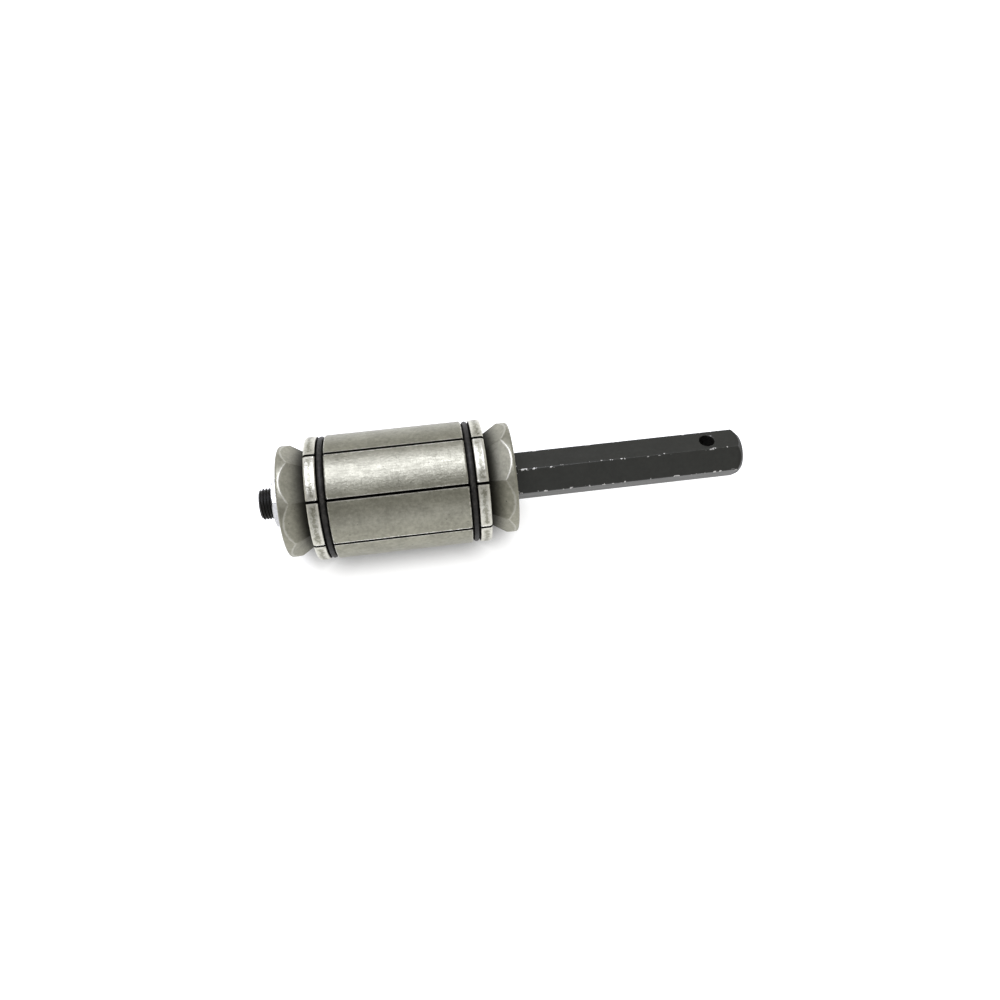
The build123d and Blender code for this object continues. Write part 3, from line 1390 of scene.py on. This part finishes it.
    def build(self) -> None:
        """Builds the bar, the shank and the thread."""
        self.bar()
        self.shank()
        self.thread()


@dataclass(frozen=True)
class Softbox:
    """A soft rectangular light that faces the tool.

    Its angle is about the tool's axis, its size is its length along the tool and its width, and along
    is how far it is shifted along the tool.
    """

    name: str
    angle: float
    distance: float
    size: tuple[float, float]
    power: float
    along: float
    colour: Colour = (0.82, 0.84, 1.0)

    def build(self) -> None:
        """Hangs the light in its place."""
        data = bpy.data.lights.new(self.name, "AREA")
        data.shape = "RECTANGLE"
        data.size, data.size_y = self.size
        data.energy = self.power
        data.color = self.colour
        lamp = add_object(self.name, data)
        away = outward(self.angle) * self.distance
        lamp.location = away + Vector((self.along, 0.0, 0.0))
        lamp.rotation_euler = away.to_track_quat("Z", "Y").to_euler()


@dataclass(frozen=True)
class Studio:
    """Pale floor, soft lights and the photograph's camera."""

    camera_place: tuple[float, float, float] = (14.88 * MM, -149.22 * MM, 421.0 * MM)
    camera_right: tuple[float, float, float] = (0.99038, -0.13195, 0.04163)
    camera_up: tuple[float, float, float] = (0.11219, 0.94192, 0.31655)
    focal_pixels: float = 855.2
    frame_pixels: float = 1000.0
    sensor: float = 36.0
    near_clip: float = 0.01
    floor_size: float = 12.0
    floor_tone: float = 0.5
    floor_glow: float = 0.86
    # Reach and samples of the ambient occlusion that dims the floor's glow into a painted contact shadow.
    painted_shadow_reach: float = 19.0 * MM
    painted_shadow_samples: int = 16
    floor_roughness: float = 0.8
    floor_gloss: float = 0.1
    # Occlusion span over which the floor's glow rises from the painted contact shadow to full.
    painted_shadow_span: Span = (0.2, 1.0)
    room_colour: Colour = (1.0, 0.99, 0.965)
    room_dark_way: tuple[float, float, float] = (-0.3, -0.5, 0.85)
    room_span: Span = (0.7, 0.98)
    horizon: float = 0.75
    overhead: float = 0.48
    lights: tuple[Softbox, ...] = (
        Softbox("key_softbox", radians(24.0), 0.9, (0.9, 0.4), 10.4, -0.2),
        Softbox("front_fill", radians(-74.0), 1.1, (1.2, 0.5), 2.0, 0.2),
    )

    def camera(self) -> None:
        """Places the camera as the photograph's was."""
        data = bpy.data.cameras.new("photo_camera")
        data.sensor_width = self.sensor
        data.sensor_fit = "HORIZONTAL"
        data.lens = self.focal_pixels / self.frame_pixels * self.sensor
        data.clip_start = self.near_clip
        camera = add_object("photo_camera", data)
        right = Vector(self.camera_right).normalized()
        back = right.cross(Vector(self.camera_up)).normalized()
        up = back.cross(right)
        turn = Matrix((right, up, back)).transposed()
        camera.matrix_world = Matrix.Translation(self.camera_place) @ turn.to_4x4()
        bpy.context.scene.camera = camera

    def floor(self, height: float) -> None:
        """Lays the pale floor under the tool, whose glow is dimmed near the tool into a painted contact
        shadow.

        Args:
            height: Height of the floor.
        """
        bm = bmesh.new()
        bmesh.ops.create_grid(bm, x_segments=1, y_segments=1, size=self.floor_size / 2)
        bmesh.ops.translate(bm, verts=bm.verts[:], vec=(0.0, 0.0, height))
        mesh = bpy.data.meshes.new("floor")
        bm.to_mesh(mesh)
        bm.free()
        material, graph, shader = new_material("pale_floor")
        shader.inputs["Base Color"].default_value = (self.floor_tone,) * 3 + (1.0,)
        shader.inputs["Roughness"].default_value = self.floor_roughness
        shader.inputs["Specular IOR Level"].default_value = self.floor_gloss
        # Painted contact shadow: the glow, seen by the camera and in the metal, is dimmed by ambient
        # occlusion near the tool.
        glow = graph.node("ShaderNodeEmission")
        glow.inputs["Color"].default_value = (1.0, 1.0, 1.0, 1.0)
        painted_shadow_ao = graph.node("ShaderNodeAmbientOcclusion", samples=self.painted_shadow_samples)
        painted_shadow_ao.inputs["Distance"].default_value = self.painted_shadow_reach
        strength = graph.ramp(painted_shadow_ao.outputs["AO"], *self.painted_shadow_span, 0.0, self.floor_glow)
        graph.feed(glow.inputs["Strength"], strength)
        total = graph.node("ShaderNodeAddShader")
        graph.feed(total.inputs[0], shader.outputs[0])
        graph.feed(total.inputs[1], glow.outputs[0])
        seen = graph.node("ShaderNodeLightPath")
        choose = graph.node("ShaderNodeMixShader")
        direct = graph.math("MAXIMUM", seen.outputs["Is Camera Ray"], seen.outputs["Is Glossy Ray"])
        direct = graph.math("MAXIMUM", direct, seen.outputs["Is Transmission Ray"])
        graph.feed(choose.inputs[0], direct)
        graph.feed(choose.inputs[1], shader.outputs[0])
        graph.feed(choose.inputs[2], total.outputs[0])
        output = next(node for node in graph.tree.nodes if node.type == "OUTPUT_MATERIAL")
        graph.feed(output.inputs["Surface"], choose.outputs[0])
        mesh.materials.append(material)
        add_object("floor", mesh)

    def world(self) -> None:
        """Soft surroundings: pale near the horizon, darker overhead towards the viewer."""
        world = bpy.data.worlds.new("soft_room")
        world.use_nodes = True
        bpy.context.scene.world = world
        graph = Graph(world.node_tree)
        output = graph.node("ShaderNodeOutputWorld")
        way = graph.node("ShaderNodeTexCoord").outputs["Generated"]
        dot = graph.node("ShaderNodeVectorMath", operation="DOT_PRODUCT")
        graph.feed(dot.inputs[0], way)
        dot.inputs[1].default_value = Vector(self.room_dark_way).normalized()
        strength = graph.ramp(dot.outputs["Value"], *self.room_span, self.horizon, self.overhead)
        back = graph.node("ShaderNodeBackground")
        back.inputs["Color"].default_value = (*self.room_colour, 1.0)
        graph.feed(back.inputs["Strength"], strength)
        graph.feed(output.inputs["Surface"], back.outputs[0])

    def build(self, floor_height: float) -> None:
        """Builds the whole studio.

        Args:
            floor_height: Height of the floor that the tool lies on.
        """
        bpy.context.scene.view_settings.view_transform = "Standard"
        self.camera()
        self.floor(floor_height)
        self.world()
        for light in self.lights:
            light.build()
        LOG.info("studio built")


def main() -> None:
    """Builds the finishes, the tool and the studio."""
    logging.basicConfig(level=logging.INFO, format="%(message)s")
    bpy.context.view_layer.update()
    sizes = ToolSizes.from_frame()
    effects = SharedEffects()
    jaw_steel = SteelFinish(
        name="jaw_steel",
        kind=SteelKind.JAW,
        dark=(0.185, 0.181, 0.142),
        light=(0.275, 0.27, 0.214),
        worn=(0.7, 0.69, 0.61),
        worn_width=1.0,
        roughness=(0.34, 0.48),
        worn_share=0.85,
        dents=1.5,
    ).build(effects, sizes)
    cone_steel = SteelFinish(
        name="cone_steel",
        kind=SteelKind.CONE,
        dark=(0.215, 0.21, 0.166),
        light=(0.3, 0.293, 0.234),
        worn=(0.46, 0.455, 0.4),
        roughness=(0.42, 0.55),
        worn_share=0.6,
        line_stretch=3.0,
    ).build(effects, sizes)
    black_steel = SteelFinish(
        name="blackened_steel",
        kind=SteelKind.HEXAGON,
        dark=(0.0185, 0.019, 0.0155),
        light=(0.0245, 0.025, 0.0205),
        worn=(0.07, 0.07, 0.062),
        roughness=(0.34, 0.46),
        worn_width=0.35,
        worn_share=0.6,
        chip=(0.5, 0.49, 0.46),
        metallic=0.5,
        line_stretch=40.0,
        dents=0.08,
    ).build(effects, sizes)
    zinc = SteelFinish(
        name="zinc_plate",
        kind=SteelKind.SMALL,
        dark=(0.42, 0.42, 0.41),
        light=(0.56, 0.56, 0.545),
        roughness=(0.24, 0.32),
        line_stretch=1.0,
        dents=0.1,
    ).build(effects, sizes)
    washer_steel = SteelFinish(
        name="washer_steel",
        kind=SteelKind.SMALL,
        dark=(0.035, 0.035, 0.032),
        light=(0.06, 0.06, 0.055),
        line_stretch=1.0,
        dents=0.1,
    ).build(effects, sizes)
    rubber = RubberFinish().build()

    JawSet(sizes, jaw_steel, rubber).build()
    Cones(sizes, cone_steel, zinc).build()
    DriveScrew(sizes, black_steel).build()
    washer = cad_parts["thrust_washer"]
    washer.data.materials.clear()
    washer.data.materials.append(washer_steel)
    Studio().build(floor_height=-sizes.jaw_radius)


if __name__ == "__main__":
    main()
